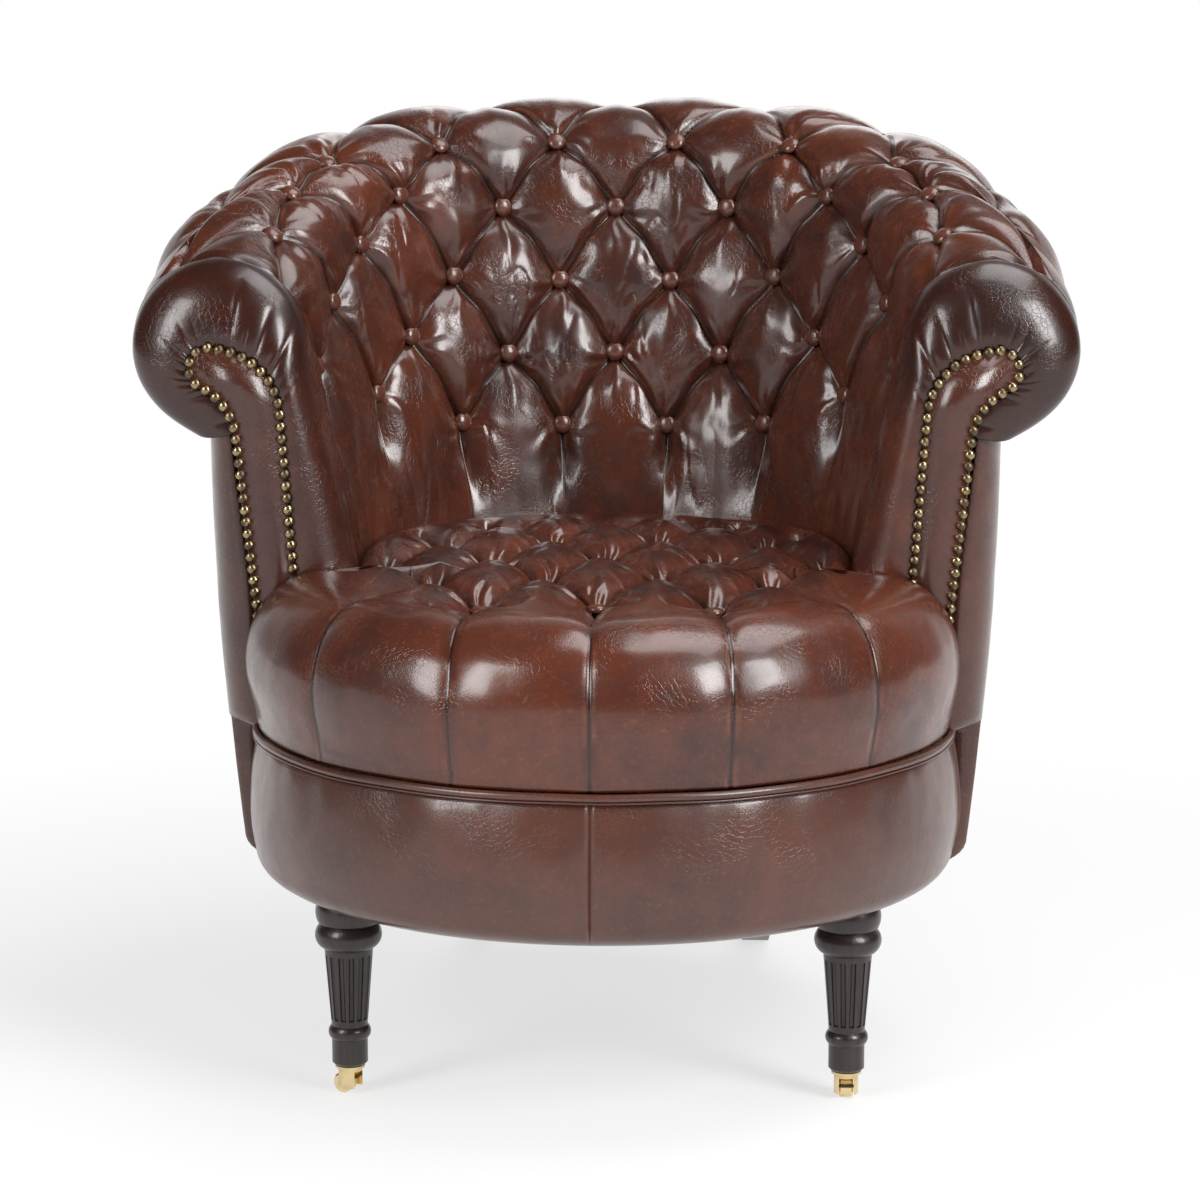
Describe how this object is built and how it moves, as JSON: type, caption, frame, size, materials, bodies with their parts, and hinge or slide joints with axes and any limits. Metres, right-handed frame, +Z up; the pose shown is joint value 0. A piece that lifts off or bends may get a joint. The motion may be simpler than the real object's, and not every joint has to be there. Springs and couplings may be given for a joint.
{
  "type": "chesterfield armchair",
  "caption": "Leather tub armchair, deep buttoned inside and on the seat, with a rolled top, nailed scroll fronts, and turned front legs on brass castors.",
  "frame": {"origin": "on the floor under the middle of the whole chair", "axes": "+Z up, the sitter faces -Y, +X to the right as seen from the front"},
  "size_m": [0.818, 0.7341, 0.843],
  "materials": {
    "tufted_hide": "glossy waxed hide",
    "outer_hide": "glossy waxed hide",
    "band_hide": "satin hide",
    "stuffing": "matte",
    "canvas": "matte",
    "frame_wood": "raw beech",
    "leg_wood": "dark satin polish",
    "nail_brass": "aged",
    "castor_brass": "polished",
    "axle_steel": "plain"
  },
  "bodies": {
    "chair": {"front_rail": "frame_wood", "rear_rail": "frame_wood", "corner_blocks": "frame_wood", "webbing": "canvas", "dust_cover": "canvas", "seat_core": "stuffing", "seat_cover": "tufted_hide", "seat_buttons": "tufted_hide", "seat_welt": "band_hide", "back_posts": "frame_wood", "top_rail": "frame_wood", "roll_core": "stuffing", "tub_lining": "canvas", "inside_back": "tufted_hide", "outside_back": "outer_hide", "tub_buttons": "tufted_hide", "front_band_left": "band_hide", "front_band_right": "band_hide", "inside_arm_left": "tufted_hide", "inside_arm_right": "tufted_hide", "outside_arm_left": "outer_hide", "outside_arm_right": "outer_hide", "arm_welt_left": "band_hide", "arm_welt_right": "band_hide", "arm_board_left": "frame_wood", "arm_board_right": "frame_wood", "arm_border_left": "tufted_hide", "arm_border_right": "tufted_hide", "facing_left": "tufted_hide", "facing_right": "tufted_hide", "facing_nails_left": "nail_brass", "facing_nails_right": "nail_brass", "front_leg_left": "leg_wood", "front_leg_right": "leg_wood", "rear_leg_left": "leg_wood", "rear_leg_right": "leg_wood", "castor_plate_left": "castor_brass", "castor_plate_right": "castor_brass"},
    "left_castor": {"castor_hood_left": "castor_brass", "castor_axle_left": "axle_steel"},
    "left_wheel": {"castor_wheel_left": "castor_brass"},
    "right_castor": {"castor_hood_right": "castor_brass", "castor_axle_right": "axle_steel"},
    "right_wheel": {"castor_wheel_right": "castor_brass"}
  },
  "joints": [
    {"name": "left_castor_swivel", "type": "hinge", "parent": "chair", "child": "left_castor", "pos_m": [-0.2145, -0.2, 0.0232], "axis": [0, 0, 1], "continuous": true},
    {"name": "left_wheel_spin", "type": "hinge", "parent": "left_castor", "child": "left_wheel", "pos_m": [-0.21903, -0.19789, 0.009], "axis": [0.4226, 0.9063, 0], "continuous": true},
    {"name": "right_castor_swivel", "type": "hinge", "parent": "chair", "child": "right_castor", "pos_m": [0.2145, -0.2, 0.0232], "axis": [0, 0, 1], "continuous": true},
    {"name": "right_wheel_spin", "type": "hinge", "parent": "right_castor", "child": "right_wheel", "pos_m": [0.2145, -0.195, 0.009], "axis": [1, 0, 0], "continuous": true}
  ]
}
